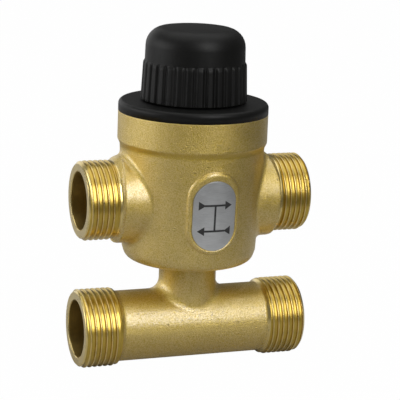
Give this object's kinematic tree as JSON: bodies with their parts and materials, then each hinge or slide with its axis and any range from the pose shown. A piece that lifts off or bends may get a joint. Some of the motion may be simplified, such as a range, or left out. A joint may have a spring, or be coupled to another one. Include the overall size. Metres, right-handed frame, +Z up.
{
  "type": "four-way mixing valve",
  "caption": "Cast brass mixing valve with an upper and a lower threaded run joined by a short neck, worked by a lift stem under a black ribbed hand cap.",
  "frame": {"origin": "where the axis of the upper run meets the stem axis, which is also the centre of the bounding box", "axes": "+X along the upper run to the right port, +Z up the stem to the cap, -Y out of the label"},
  "size_m": [0.078, 0.05, 0.1144],
  "materials": {
    "cast_brass": "sand-cast, matte",
    "label": "satin",
    "black_plastic": "moulded, matte",
    "seal_rubber": "smooth",
    "turned_brass": "turned",
    "steel": "turned"
  },
  "bodies": {
    "valve": {"valve_body": "cast_brass", "label_plate": "label", "bonnet": "black_plastic", "bonnet_o_ring": "seal_rubber", "seat_cage_o_ring": "seal_rubber", "gland_o_ring": "seal_rubber", "stem_o_ring_lower": "seal_rubber", "stem_o_ring_upper": "seal_rubber", "seat_cage": "turned_brass", "gland_bush": "turned_brass", "return_spring": "steel"},
    "stem_set": {"stem": "steel", "plug": "turned_brass", "lower_plug_seal": "seal_rubber", "upper_plug_seal": "seal_rubber", "plug_washer": "steel", "plug_nut": "steel", "spring_retainer": "steel", "spring_clip": "steel"},
    "cap": {"manual_cap": "black_plastic"}
  },
  "joints": [
    {"name": "stem_lift", "type": "slide", "parent": "valve", "child": "stem_set", "axis": [0, 0, 1], "range_m": [0, 0.00545], "deforming": ["return_spring"]},
    {"name": "cap_turn", "type": "hinge", "parent": "stem_set", "child": "cap", "pos_m": [0, 0, 0.045], "axis": [0, 0, 1], "range_deg": [0, 1308]}
  ],
  "couplings": [
    {"joint": "cap_turn", "follows": "stem_lift", "rad_per_m": 4188.8}
  ]
}
